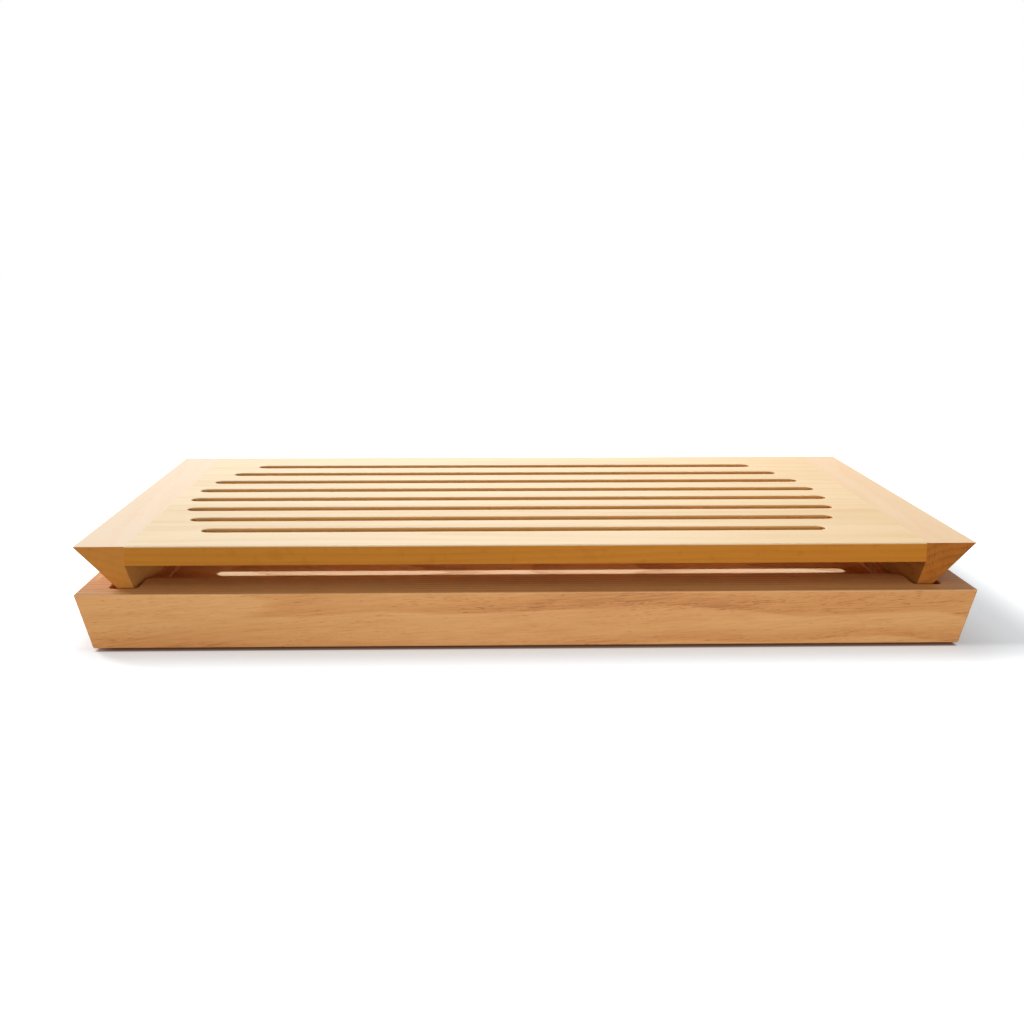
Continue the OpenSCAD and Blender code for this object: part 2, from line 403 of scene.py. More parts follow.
panelLook = {
    "grain": "X", "lean": 0.012, "rise": -0.006, "wander": 9.0, "ringWidth": 3.4,
    "fleck": (4.5, 0.6, 6.0),   # millimetres along the grain, around the log and out from its middle
    "ringDepth": 0.10, "fibreDepth": 0.22, "bandDepth": 0.30, "cloudDepth": 0.22, "fleckDepth": 0.10,
    "tones": [(0.20, colour(253, 234, 203)), (0.50, colour(251, 224, 182)),
              (0.80, colour(238, 203, 155)), (1.0, colour(214, 165, 108))],
    # painted shade: darker copies of the tones, for the faces that do not face up
    "shadedSideTones": [(0.20, colour(212, 144, 58)), (0.50, colour(197, 127, 42)),
                  (0.80, colour(180, 110, 32)), (1.0, colour(146, 84, 24))],
    "endTint": colour(225, 200, 170),
    # painted shade tint for the slot walls
    "wallShadeTint": colour(250, 250, 212),
    "wornTint": colour(250, 226, 190),
    "paintedLightDrift": ((0.99, 1.02, 1.075, 1.0), (1.02, 0.97, 0.885, 1.0)),   # painted light: at the left end, lighter and cooler, and at the right, warmer, as the light falls across
    "roughness": 0.6, "gloss": 0.08, "bump": 0.2,
}

railLook = dict(
    panelLook, grain="Y", lean=0.02, rise=0.01, wander=7.0, ringDepth=0.06, bandDepth=0.2,
    tones=[(0.20, colour(253, 232, 205)), (0.50, colour(251, 223, 189)),
           (0.80, colour(244, 204, 162)), (1.0, colour(206, 150, 108))],
    # painted shade: darker copies of the tones, for the faces that do not face up
    shadedSideTones=[(0.20, colour(226, 166, 88)), (0.50, colour(211, 148, 70)),
               (0.80, colour(190, 124, 54)), (1.0, colour(140, 84, 36))],
    endTint=colour(240, 225, 205),
)

trayLook = dict(
    panelLook, lean=0.02, rise=-0.06, wander=12.0, ringWidth=4.2,
    fleck=(4.0, 0.5, 6.0),
    ringDepth=0.26, fibreDepth=0.6, bandDepth=0.45, cloudDepth=0.3, fleckDepth=0.22,
    tones=[(0.15, colour(243, 190, 128)), (0.45, colour(233, 171, 106)),
           (0.75, colour(217, 149, 84)), (1.0, colour(172, 104, 54))],
    endTint=colour(225, 195, 165), wornTint=colour(236, 190, 138), gloss=0.35,
)
# the tray has the same tones on all faces and from end to end
trayLook.pop("shadedSideTones")
trayLook.pop("paintedLightDrift")

dowelLook = dict(trayLook, endTint=colour(215, 190, 165))

panelBeech = beech("panelBeech", panelLook)
railBeech = beech("railBeech", railLook)
trayBeech = beech("trayBeech", trayLook)
dowelBeech = beech("dowelBeech", dowelLook)


rubberLook = {
    "speck": (3.0, 4.0),      # scale per millimetre, and detail
    "dust": (0.35, 3.0),
    "tones": [(0.3, colour(38, 37, 36)), (0.7, colour(58, 56, 53))],
    "roughness": 0.6, "speckRoughness": 0.25,
    "bump": 0.3, "reliefHeight": 0.08 * mm,
}


def footRubber(look):
    material = bpy.data.materials.new("footRubber")
    material.use_nodes = True
    tree = material.node_tree
    shader = tree.nodes["Principled BSDF"]
    spot = addNode(tree, "ShaderNodeTexCoord").outputs["Object"]
    place = vectorCalc(tree, "SCALE", spot, 1.0 / mm)

    def noise(scale, detail):
        plugs = {"Vector": place, "Scale": scale, "Detail": detail}
        return addNode(tree, "ShaderNodeTexNoise", plugs).outputs["Fac"]

    speck, dust = noise(*look["speck"]), noise(*look["dust"])
    plug(tree, shader.inputs["Base Color"], ramp(tree, dust, look["tones"]))
    sheen = calc(tree, "MULTIPLY_ADD", speck, look["speckRoughness"], look["roughness"])
    plug(tree, shader.inputs["Roughness"], sheen)
    plugs = {"Height": speck, "Strength": look["bump"], "Distance": look["reliefHeight"]}
    bump = addNode(tree, "ShaderNodeBump", plugs)
    plug(tree, shader.inputs["Normal"], bump.outputs["Normal"])
    return material


rubber = footRubber(rubberLook)
print("materials made")


# Turning meshes into finished pieces

weldReach = 0.002 * mm
shortEdge = 0.001 * mm
nodeWeldReach = 0.003 * mm
boreTurns = 40
faceLimits = {
    "narrow": 0.5 * mm,   # width of a face on a rounded edge
    "square": 0.999,      # largest part of a normal that follows an axis
    "outer": 1.0 * mm,    # from the piece's front or back
    "up": 0.5,
    "end": 0.7,
}


def objectFrom(name, mesh):
    piece = bpy.data.objects.new(name, mesh)
    bpy.context.collection.objects.link(piece)
    return piece


def objectFromFaces(name, bm):
    bmesh.ops.recalc_face_normals(bm, faces=bm.faces[:])
    mesh = bpy.data.meshes.new(name)
    bm.to_mesh(mesh)
    bm.free()
    return objectFrom(name, mesh)


def settle(piece):
    # the evaluated shape becomes the piece's own mesh
    shape = piece.evaluated_get(bpy.context.evaluated_depsgraph_get())
    mesh = bpy.data.meshes.new_from_object(shape)
    piece.modifiers.clear()
    piece.data = mesh
    mesh.name = piece.name


def drill(piece, bores, radius):
    # bores: pairs of points, from the mouth to the bottom
    bm = bmesh.new()
    for mouth, bottom in bores:
        way = Vector(bottom) - Vector(mouth)
        turn = way.to_track_quat("Z", "Y").to_matrix().to_4x4()
        place = Matrix.Translation((Vector(mouth) + Vector(bottom)) / 2.0) @ turn
        bmesh.ops.create_cone(bm, cap_ends=True, segments=boreTurns, radius1=radius,
                              radius2=radius, depth=way.length, matrix=place)
    cutter = objectFromFaces("bores", bm)
    mesh = cutter.data
    cut = piece.modifiers.new("bores", "BOOLEAN")
    cut.operation = "DIFFERENCE"
    cut.solver = "EXACT"
    cut.object = cutter
    settle(piece)
    bpy.data.objects.remove(cutter)
    bpy.data.meshes.remove(mesh)


def markFaces(mesh, grain, pith, tone, inside=1.0, sideShade=0.0):
    # what the wood's nodes need to know of each face
    marks = {"side": [], "wall": [], "endGrain": [], "eased": [], "tone": []}
    front = min(corner.co.y for corner in mesh.vertices)
    back = max(corner.co.y for corner in mesh.vertices)
    for face in mesh.polygons:
        corners = [mesh.vertices[i].co for i in face.vertices]
        longest = max((a - b).length for a, b in zip(corners, corners[1:] + corners[:1]))
        narrow = face.area < faceLimits["narrow"] * longest
        square = max(abs(value) for value in face.normal) > faceLimits["square"]
        outer = min(face.center.y - front, back - face.center.y) < faceLimits["outer"]
        # the side mark picks where the wood paints shade: none facing up, all at the piece's front and
        # back, the given share on the others
        side = 0.0 if face.normal.z > faceLimits["up"] else 1.0 if outer else inside
        ending = abs(face.normal["XYZ".index(grain)]) > faceLimits["end"]
        marks["side"].append(side)
        # faces with a share of the side shade, such as the slot walls, get a painted shade tint
        marks["wall"].append(1.0 if 0.0 < side < 1.0 else 0.0)
        marks["endGrain"].append(1.0 if ending else 0.0)
        marks["eased"].append(1.0 if narrow and not square and face.normal.z > 0.0 else 0.0)
        # the tone mark carries the piece's own tone plus painted shade on the faces that do not face up
        marks["tone"].append(tone + side * sideShade)
    for name, values in marks.items():
        mesh.attributes.new(name, "FLOAT", "FACE").data.foreach_set("value", values)
    piths = list(pith) * len(mesh.polygons)
    mesh.attributes.new("pith", "FLOAT_VECTOR", "FACE").data.foreach_set("vector", piths)


def smoothMesh(mesh, sharpAngle=35.0):
    bm = bmesh.new()
    bm.from_mesh(mesh)
    bmesh.ops.remove_doubles(bm, verts=bm.verts[:], dist=weldReach)
    bmesh.ops.dissolve_degenerate(bm, edges=bm.edges[:], dist=shortEdge)
    bmesh.ops.recalc_face_normals(bm, faces=bm.faces[:])
    for face in bm.faces:
        face.smooth = True
    for edge in bm.edges:
        edge.smooth = edge.is_manifold and edge.calc_face_angle() < math.radians(sharpAngle)
    openEdges = sum(1 for edge in bm.edges if not edge.is_manifold)
    bm.to_mesh(mesh)
    bm.free()
    return openEdges


def finishPiece(piece, node, body, material, wood=None):
    openEdges = smoothMesh(piece.data)
    weigh = piece.modifiers.new("weigh", "WEIGHTED_NORMAL")
    weigh.keep_sharp = True
    settle(piece)
    if wood:
        markFaces(piece.data, **wood)
    piece.data.materials.clear()
    piece.data.materials.append(material)
    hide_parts(node)
    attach(piece, body)
    print("  ", piece.name, len(piece.data.polygons), "faces, open edges", openEdges)


# Geometry node trees

def startTree(name, others, numbers):
    # inputs: pairs of a name and a kind, then the names of plain numbers
    tree = bpy.data.node_groups.new(name, "GeometryNodeTree")
    for label, kind in others + [(label, "Float") for label in numbers]:
        tree.interface.new_socket(name=label, in_out="INPUT", socket_type="NodeSocket" + kind)
    tree.interface.new_socket(name="Geometry", in_out="OUTPUT", socket_type="NodeSocketGeometry")
    return tree, addNode(tree, "NodeGroupInput").outputs


def weld(tree, geometry):
    plugs = {"Geometry": geometry, "Distance": nodeWeldReach}
    return addNode(tree, "GeometryNodeMergeByDistance", plugs).outputs[0]


def endTree(tree, geometry, material):
    whole = weld(tree, addNode(tree, "GeometryNodeRealizeInstances", {"Geometry": geometry}).outputs[0])
    plugs = {"Geometry": whole, "Material": material}
    whole = addNode(tree, "GeometryNodeSetMaterial", plugs).outputs[0]
    addNode(tree, "NodeGroupOutput", {"Geometry": whole})


def growPiece(name, tree, sizes, seeds=()):
    mesh = bpy.data.meshes.new(name)
    mesh.from_pydata(list(seeds), [], [])
    piece = objectFrom(name, mesh)
    nodes = piece.modifiers.new("nodes", "NODES")
    nodes.node_group = tree
    for item in tree.interface.items_tree:
        if item.in_out == "INPUT" and item.name in sizes:
            nodes[item.identifier] = sizes[item.name]
    settle(piece)
    return piece


def unrolledGrid(tree, around, levels):
    # a flat grid whose columns go round and whose rows go up, both from 0 to 1
    plugs = {"Size X": 1.0, "Size Y": 1.0, "Vertices X": around + 1, "Vertices Y": levels}
    sheet = addNode(tree, "GeometryNodeMeshGrid", plugs).outputs["Mesh"]
    column, row, _ = separate(tree, addNode(tree, "GeometryNodeInputPosition").outputs[0])
    for name, value in (("column", column), ("row", row)):
        plugs = {"Geometry": sheet, "Name": name, "Value": calc(tree, "ADD", value, 0.5)}
        sheet = addNode(tree, "GeometryNodeStoreNamedAttribute", plugs, data_type="FLOAT").outputs[0]
    return sheet


def stored(tree, name):
    return addNode(tree, "GeometryNodeInputNamedAttribute", {"Name": name}, data_type="FLOAT").outputs[0]


def moveTo(tree, geometry, x, y, z):
    plugs = {"Geometry": geometry, "Position": combine(tree, x, y, z)}
    return addNode(tree, "GeometryNodeSetPosition", plugs).outputs[0]


def rowShare(tree, row, start, end):
    # from 0 to 1 between two places on the way up the grid
    reach = end - start
    return calc(tree, "MULTIPLY_ADD", row, 1.0 / reach, -start / reach, clamp=True)


def wave(tree, how, turns, start=0.0):
    return calc(tree, how, calc(tree, "MULTIPLY_ADD", turns, 2.0 * math.pi, start))


# Slotted staves of the panel

slots = {
    "Slot Pitch": 27.0 * mm,
    "Slot Width": 9.5 * mm,
    "Slot Rows": 8,
    "Slot Shift": -5.0 * mm,
    "Middle Reach": 173.66 * mm,   # half length of a slot on the centre line
    "Tip Arc": 222.0 * mm,         # radius that the slot tips follow
    "Lip Radius": 0.45 * mm,
    "Edge Radius": 0.6 * mm,
}
slotTurns = 48
easeSteps = 4


def easedWall(tree, top, underside, radius):
    # how far a wall stands back at each row, its height and its middle, with a rounded edge at both faces
    straightShare = 1.0 / (2 * easeSteps + 1)
    side = calc(tree, "MULTIPLY_ADD", stored(tree, "row"), 2.0, -1.0)
    away = calc(tree, "ABSOLUTE", side)
    bend = calc(tree, "DIVIDE", calc(tree, "SUBTRACT", 1.0, away), 1.0 - straightShare, clamp=True)
    bend = calc(tree, "MULTIPLY", bend, math.pi / 2.0)
    setBack = calc(tree, "MULTIPLY", radius, calc(tree, "SUBTRACT", 1.0, calc(tree, "SINE", bend)))
    halfThick = calc(tree, "MULTIPLY", calc(tree, "SUBTRACT", top, underside), 0.5)
    middle = calc(tree, "MULTIPLY", calc(tree, "ADD", top, underside), 0.5)
    straight = calc(tree, "SUBTRACT", halfThick, radius)
    rise = calc(tree, "MULTIPLY_ADD", radius, calc(tree, "COSINE", bend), straight)
    return setBack, calc(tree, "MULTIPLY_ADD", calc(tree, "SIGN", side), rise, middle), middle


def slottedStave(material):
    tree, given = startTree("slottedStave", [("Slot Rows", "Int")], (
        "Length", "Front", "Back", "Top", "Underside", "Slot Pitch", "Slot Width", "Slot Shift",
        "Middle Reach", "Tip Arc", "Lip Radius", "Edge Radius", "Ease Front", "Ease Back"))
    top, underside = given["Top"], given["Underside"]
    levels = 2 * (easeSteps + 1)

    # one point per slot, kept where the slot lies in this stave
    firstRow = calc(tree, "MULTIPLY", calc(tree, "SUBTRACT", given["Slot Rows"], 1.0), -0.5)
    firstRow = calc(tree, "MULTIPLY", firstRow, given["Slot Pitch"])
    plugs = {"Count": given["Slot Rows"], "Start Location": combine(tree, 0.0, firstRow, 0.0),
             "Offset": combine(tree, 0.0, given["Slot Pitch"], 0.0)}
    rows = addNode(tree, "GeometryNodeMeshLine", plugs, mode="OFFSET").outputs[0]
    rowY = separate(tree, addNode(tree, "GeometryNodeInputPosition").outputs[0])[1]
    plugs = {"Geometry": rows, "Name": "rowY", "Value": rowY}
    rows = addNode(tree, "GeometryNodeStoreNamedAttribute", plugs, data_type="FLOAT").outputs[0]
    before = calc(tree, "LESS_THAN", rowY, given["Front"])
    behind = calc(tree, "GREATER_THAN", rowY, given["Back"])
    plugs = {"Geometry": rows, "Selection": calc(tree, "MAXIMUM", before, behind)}
    rows = addNode(tree, "GeometryNodeDeleteGeometry", plugs, domain="POINT").outputs[0]

    # slot walls with rounded lips
    plugs = {"Points": rows, "Instance": unrolledGrid(tree, slotTurns, levels)}
    walls = addNode(tree, "GeometryNodeInstanceOnPoints", plugs).outputs[0]
    walls = addNode(tree, "GeometryNodeRealizeInstances", {"Geometry": walls}).outputs[0]
    halfStep = math.pi / slotTurns
    cosine = wave(tree, "COSINE", stored(tree, "column"), halfStep)
    sine = wave(tree, "SINE", stored(tree, "column"), halfStep)
    setBack, height, middle = easedWall(tree, top, underside, given["Lip Radius"])
    radius = calc(tree, "MULTIPLY_ADD", given["Slot Width"], 0.5 / math.cos(halfStep), setBack)
    rowSquared = calc(tree, "POWER", stored(tree, "rowY"), 2.0)
    arcSquared = calc(tree, "POWER", given["Tip Arc"], 2.0)
    chord = calc(tree, "SQRT", calc(tree, "SUBTRACT", arcSquared, rowSquared))
    sagitta = calc(tree, "SUBTRACT", given["Tip Arc"], chord)
    reach = calc(tree, "SUBTRACT", given["Middle Reach"], sagitta)
    straight = calc(tree, "MULTIPLY_ADD", given["Slot Width"], -0.5, reach)
    x = calc(tree, "MULTIPLY", radius, cosine)
    x = calc(tree, "MULTIPLY_ADD", calc(tree, "SIGN", cosine), straight, x)
    x = calc(tree, "ADD", x, given["Slot Shift"])
    y = calc(tree, "MULTIPLY_ADD", radius, sine, stored(tree, "rowY"))
    walls = moveTo(tree, walls, x, y, height)

    # the stave's own four sides
    outside = unrolledGrid(tree, 4, levels)
    cosine = wave(tree, "COSINE", stored(tree, "column"), math.pi / 4.0)
    sine = wave(tree, "SINE", stored(tree, "column"), math.pi / 4.0)
    setBack, height, middle = easedWall(tree, top, underside, given["Edge Radius"])
    front = calc(tree, "MULTIPLY_ADD", setBack, given["Ease Front"], given["Front"])
    back = calc(tree, "SUBTRACT", given["Back"], calc(tree, "MULTIPLY", setBack, given["Ease Back"]))
    centre = calc(tree, "MULTIPLY", calc(tree, "ADD", front, back), 0.5)
    halfWidth = calc(tree, "MULTIPLY", calc(tree, "SUBTRACT", back, front), 0.5)
    x = calc(tree, "MULTIPLY", calc(tree, "SIGN", cosine), calc(tree, "MULTIPLY", given["Length"], 0.5))
    y = calc(tree, "MULTIPLY_ADD", calc(tree, "SIGN", sine), halfWidth, centre)
    outside = moveTo(tree, outside, x, y, height)

    sides = addNode(tree, "GeometryNodeJoinGeometry")
    for part in (walls, outside):
        tree.links.new(part, sides.inputs[0])
    sides = weld(tree, sides.outputs[0])

    # flat faces between the outer edges and the lips
    whole = addNode(tree, "GeometryNodeJoinGeometry")
    tree.links.new(sides, whole.inputs[0])
    # an edge with one face; the whole numbers to compare are the third and fourth sockets
    rim = addNode(tree, "FunctionNodeCompare", data_type="INT", operation="EQUAL")
    plug(tree, rim.inputs[2], addNode(tree, "GeometryNodeInputMeshEdgeNeighbors").outputs[0])
    plug(tree, rim.inputs[3], 1)
    edgeZ = separate(tree, addNode(tree, "GeometryNodeInputPosition").outputs[0])[2]
    for level, compare in ((top, "GREATER_THAN"), (underside, "LESS_THAN")):
        chosen = calc(tree, "MULTIPLY", rim.outputs[0], calc(tree, compare, edgeZ, middle))
        loops = addNode(tree, "GeometryNodeMeshToCurve", {"Mesh": sides, "Selection": chosen}).outputs[0]
        face = addNode(tree, "GeometryNodeFillCurve", {"Curve": loops}, mode="TRIANGLES").outputs[0]
        plugs = {"Geometry": face, "Offset": combine(tree, 0.0, 0.0, level)}
        face = addNode(tree, "GeometryNodeSetPosition", plugs).outputs[0]
        tree.links.new(face, whole.inputs[0])
    endTree(tree, whole.outputs[0], material)
    return tree


staves = {
    # node: where the pith lay under the stave (mm, from the stave's middle), and how dark the stave is
    "board_stave_front": {"pith": (20.0, 6.0, -70.0), "tone": -0.02},
    "board_stave_front_inner": {"pith": (410.0, -14.0, -95.0), "tone": 0.03},
    "board_stave_middle": {"pith": (-260.0, 9.0, -60.0), "tone": -0.04},
    "board_stave_back_inner": {"pith": (900.0, -5.0, -110.0), "tone": 0.02},
    "board_stave_back": {"pith": (-700.0, 12.0, -80.0), "tone": 0.0},
}
slotWallShade = 0.6        # how much of the painted side shade the walls of the slots take
dowelBore = 2.55 * mm
boreAir = 0.5 * mm     # past the end of a dowel
boreStart = 1.0 * mm   # outside the wood


def growth(node, wood, grain):
    # how a piece lay in its log
    low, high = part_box(node)
    return dict(wood, grain=grain, pith=(low + high) / (2.0 * mm) + Vector(wood["pith"]))


def makeStaves():
    tree = slottedStave(panelBeech)
    boardFront = min(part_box(node)[0].y for node in staves)
    boardBack = max(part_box(node)[1].y for node in staves)
    for node, wood in staves.items():
        low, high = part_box(node)
        sizes = dict(slots, Front=low.y, Back=high.y, Top=high.z, Underside=low.z, Length=high.x - low.x)
        sizes["Ease Front"] = 1.0 if low.y < boardFront + mm else 0.0
        sizes["Ease Back"] = 1.0 if high.y > boardBack - mm else 0.0
        piece = growPiece("slotted_" + node, tree, sizes)
        middle = (low + high) / 2.0
        bores = []
        for side, dowels in ((-1.0, "left_dowels"), (1.0, "right_dowels")):
            dowelLow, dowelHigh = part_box(dowels)
            bottom = dowelHigh.x + boreAir if side < 0 else dowelLow.x - boreAir
            mouth = side * (high.x + boreStart)
            bores.append(((mouth, middle.y, middle.z), (bottom, middle.y, middle.z)))
        drill(piece, bores, dowelBore)
        finishPiece(piece, node, "board", panelBeech,
                    growth(node, dict(wood, inside=slotWallShade), "X"))


makeStaves()
print("slotted staves made")


# End rails with their legs

rails = {
    "footWidth": 4.6 * mm,
    "tipReach": 0.2 * mm,    # the outer edge's corner before its rounding, past the solid's blunt edge
    "tipRadius": 0.12 * mm,
    "endRadius": 0.15 * mm,  # rounding round the front and back faces
    "edgeRadius": 0.5 * mm,
    "arcSteps": 3,
    # sideShade: painted shade on the faces that do not face up, darker on the right rail, partly as
    # painted shade
    "left_end_rail": {"pith": (-30.0, 300.0, -75.0), "tone": -0.03, "sideShade": 0.0},
    "right_end_rail": {"pith": (26.0, -350.0, -70.0), "tone": 0.03, "sideShade": 0.25},
}
leastRadius = 0.05 * mm   # of a rounding that is drawn in past its centre


def quarterSteps(radius, steps):
    # set back from the wall and drop from the face, along a rounded edge
    turns = [math.pi / 2.0 * i / steps for i in range(steps + 1)]
    return [(radius * (1.0 - math.sin(turn)), radius * (1.0 - math.cos(turn))) for turn in turns]


def roundedCorner(before, corner, after, radius, steps):
    toBefore = (before - corner).normalized()
    toAfter = (after - corner).normalized()
    half = toBefore.angle(toAfter) / 2.0
    centre = corner + (toBefore + toAfter).normalized() * (radius / math.sin(half))
    reach = radius / math.tan(half)
    first = corner + toBefore * reach - centre
    last = corner + toAfter * reach - centre
    whole = first.angle(last)
    points = []
    for i in range(steps + 1):
        share = i / steps
        start = math.sin((1.0 - share) * whole) / math.sin(whole)
        end = math.sin(share * whole) / math.sin(whole)
        points.append(centre + first * start + last * end)
    return points


def lay(bm, points):
    return [bm.verts.new(point) for point in points]


def bridge(bm, first, second, closed=True):
    count = len(first) if closed else len(first) - 1
    for i in range(count):
        j = (i + 1) % len(first)
        bm.faces.new((first[i], first[j], second[j], second[i]))


def railOutline(node, setBack):
    # section of the rail seen from the front, for the right-hand one, drawn in by setBack
    low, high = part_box(node)
    edge = max(abs(low.x), abs(high.x)) + rails["tipReach"]
    footIn = min(abs(low.x), abs(high.x))
    footOut = footIn + rails["footWidth"]
    panelLow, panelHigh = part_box("board_stave_middle")
    joint = panelHigh.x
    steep = math.atan2(high.z - low.z, edge - footOut)
    lean = math.atan2(joint - footIn, panelLow.z - low.z)
    tipShift = setBack / math.tan(steep / 2.0)
    outShift = setBack * math.tan(steep / 2.0)
    inShift = setBack * math.tan(math.pi / 4.0 + lean / 2.0)
    return [
        Vector((joint, high.z - setBack)),
        Vector((edge - tipShift, high.z - setBack)),
        Vector((footOut - outShift, low.z + setBack)),
        Vector((footIn + inShift, low.z + setBack)),
        Vector((joint, panelLow.z)),
    ]


def railLoop(node, y, setBack, side):
    outline = railOutline(node, setBack)
    points = [outline[0]]
    for i, fullRadius in ((1, rails["tipRadius"]), (2, rails["edgeRadius"]), (3, rails["edgeRadius"])):
        radius = max(fullRadius - setBack, leastRadius)
        points += roundedCorner(outline[i - 1], outline[i], outline[i + 1], radius, rails["arcSteps"])
    points.append(outline[4])
    return [(side * point.x, y, point.y) for point in points]


def makeRails():
    for node, side in (("left_end_rail", -1.0), ("right_end_rail", 1.0)):
        low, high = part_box(node)
        bm = bmesh.new()
        steps = quarterSteps(rails["endRadius"], rails["arcSteps"])
        loops = [(low.y + drop, setBack) for setBack, drop in steps]
        loops += [(high.y - drop, setBack) for setBack, drop in reversed(steps)]
        rings = [lay(bm, railLoop(node, y, setBack, side)) for y, setBack in loops]
        for first, second in zip(rings, rings[1:]):
            bridge(bm, first, second)
        bm.faces.new(rings[0])
        bm.faces.new(rings[-1])
        piece = objectFromFaces("leg_" + node, bm)

        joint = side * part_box("board_stave_middle")[1].x
        dowelLow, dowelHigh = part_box(node.replace("end_rail", "dowels"))
        bottom = dowelLow.x - boreAir if side < 0 else dowelHigh.x + boreAir
        bores = []
        for stave in staves:
            staveLow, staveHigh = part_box(stave)
            middle = (staveLow + staveHigh) / 2.0
            mouth = joint - side * boreStart
            bores.append(((mouth, middle.y, middle.z), (bottom, middle.y, middle.z)))
        drill(piece, bores, dowelBore)
        finishPiece(piece, node, "board", railBeech, growth(node, rails[node], "Y"))


makeRails()
print("end rails made")


# Dowels, fluted and chamfered

dowelSizes = {"Flutes": 14, "Flute Depth": 0.09, "Chamfer": 0.7 * mm}
dowelWood = {"pith": (0.0, 8.0, -30.0), "tone": 0.0}
dowelTurns = 112
dowelRows = 6
dowelEdge = 0.6        # where the second row and the third lie, as shares of the way from the middle
dowelBody = 0.2
fluteSharpness = 3.0


def flutedDowels(material):
    numbers = ("Length", "Radius", "Chamfer", "Flutes", "Flute Depth")
    tree, given = startTree("flutedDowels", [("Geometry", "Geometry")], numbers)
    column, row = stored(tree, "column"), stored(tree, "row")
    away = calc(tree, "ABSOLUTE", calc(tree, "MULTIPLY_ADD", row, 2.0, -1.0))
    endFace = rowShare(tree, away, 1.0, dowelEdge)
    body = rowShare(tree, away, dowelEdge, dowelBody)
    flute = wave(tree, "COSINE", calc(tree, "MULTIPLY", column, given["Flutes"]))
    flute = calc(tree, "POWER", calc(tree, "MULTIPLY_ADD", flute, 0.5, 0.5), fluteSharpness)
    flute = calc(tree, "MULTIPLY", calc(tree, "MULTIPLY", flute, given["Flute Depth"]), body)
    radius = calc(tree, "MULTIPLY", calc(tree, "SUBTRACT", given["Radius"], given["Chamfer"]), endFace)
    radius = calc(tree, "MULTIPLY_ADD", given["Chamfer"], body, radius)
    radius = calc(tree, "MULTIPLY", radius, calc(tree, "SUBTRACT", 1.0, flute))
    halfLength = calc(tree, "MULTIPLY", given["Length"], 0.5)
    halfLength = calc(tree, "SUBTRACT", halfLength, calc(tree, "MULTIPLY", given["Chamfer"], body))
    x = calc(tree, "MULTIPLY", calc(tree, "SIGN", calc(tree, "SUBTRACT", row, 0.5)), halfLength)
    y = calc(tree, "MULTIPLY", radius, wave(tree, "COSINE", column))
    z = calc(tree, "MULTIPLY", radius, wave(tree, "SINE", column))
    dowel = moveTo(tree, unrolledGrid(tree, dowelTurns, dowelRows), x, y, z)
    plugs = {"Points": given["Geometry"], "Instance": dowel}
    dowels = addNode(tree, "GeometryNodeInstanceOnPoints", plugs).outputs[0]
    endTree(tree, dowels, material)
    return tree


def makeDowels():
    tree = flutedDowels(dowelBeech)
    for node in ("left_dowels", "right_dowels"):
        low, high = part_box(node)
        middle = (low + high) / 2.0
        rows = [sum(corner.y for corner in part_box(stave)) / 2.0 for stave in staves]
        seeds = [(middle.x, y, middle.z) for y in rows]
        sizes = dict(dowelSizes, Length=high.x - low.x, Radius=(high.z - low.z) / 2.0)
        piece = growPiece("fluted_" + node, tree, sizes, seeds)
        finishPiece(piece, node, "board", dowelBeech, growth(node, dowelWood, "X"))


makeDowels()
print("dowels made")


# Tray staves

tray = {
    "endLean": 17.0,         # degrees from upright
    "wellDepth": 10.0 * mm,
    "ledgeDepth": 5.0 * mm,
    "ledgeOut": 193.7 * mm,  # the ledges, from the middle line
    "ledgeIn": 180.6 * mm,
    "ledgeEnd": 133.2 * mm,
    "ledgeRadius": 3.0 * mm,
    "wellX": 179.6 * mm,
    "wellY": 112.2 * mm,
    "wellRadius": 6.0 * mm,
    "rimRadius": 4.5 * mm,
    "cove": 1.2 * mm,        # where the well's walls meet its floor
    "edgeRadius": 0.6 * mm,
    "cornerRadius": 0.6 * mm,
    "easeSteps": 4,
    "arcSteps": 10,
    "footBore": 7.1 * mm,
    "footSeat": 2.0 * mm,
}
trayStaves = {
    "tray_stave_front": {"pith": (-120.0, 95.0, 16.0), "tone": 0.0},
    "tray_stave_front_inner": {"pith": (300.0, -8.0, -60.0), "tone": 0.05},
    "tray_stave_middle": {"pith": (-500.0, 10.0, -80.0), "tone": -0.03},
    "tray_stave_back_inner": {"pith": (700.0, -12.0, -65.0), "tone": 0.03},
    "tray_stave_back": {"pith": (200.0, -90.0, 8.0), "tone": 0.02},
}
trayFeet = ("foot_front_left", "foot_front_right", "foot_back_left", "foot_back_right")
trayLow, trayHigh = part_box("tray_stave_front")
rimZ, baseZ = trayHigh.z, trayLow.z
wellZ, ledgeZ = rimZ - tray["wellDepth"], rimZ - tray["ledgeDepth"]


def endX(z):
    # half width of the tray at height z
    return trayHigh.x - (rimZ - z) * math.tan(math.radians(tray["endLean"]))


def arc(cx, cy, radius, start, end, steps):
    turns = [math.radians(start + (end - start) * i / steps) for i in range(steps + 1)]
    return [(cx + radius * math.cos(turn), cy + radius * math.sin(turn)) for turn in turns]


def mirrored(path):
    return [(-x, y) for x, y in reversed(path)]


def rimHalf(glueY, setBack):
    # left half of the pocket's upper edge, from the glue line round the ledge to the well's front wall
    t, steps = tray, tray["arcSteps"]
    r, lip = t["ledgeRadius"], t["rimRadius"]
    path = [(-t["ledgeOut"] - setBack, glueY)]
    path += arc(-t["ledgeOut"] + r, -t["ledgeEnd"] + r, r + setBack, 180, 270, steps)
    path += arc(-t["ledgeIn"] - r, -t["ledgeEnd"] + r, r + setBack, 270, 360, steps)
    path += arc(-t["ledgeIn"] + lip, -t["wellY"] - lip, lip - setBack, 180, 90, steps)
    return path


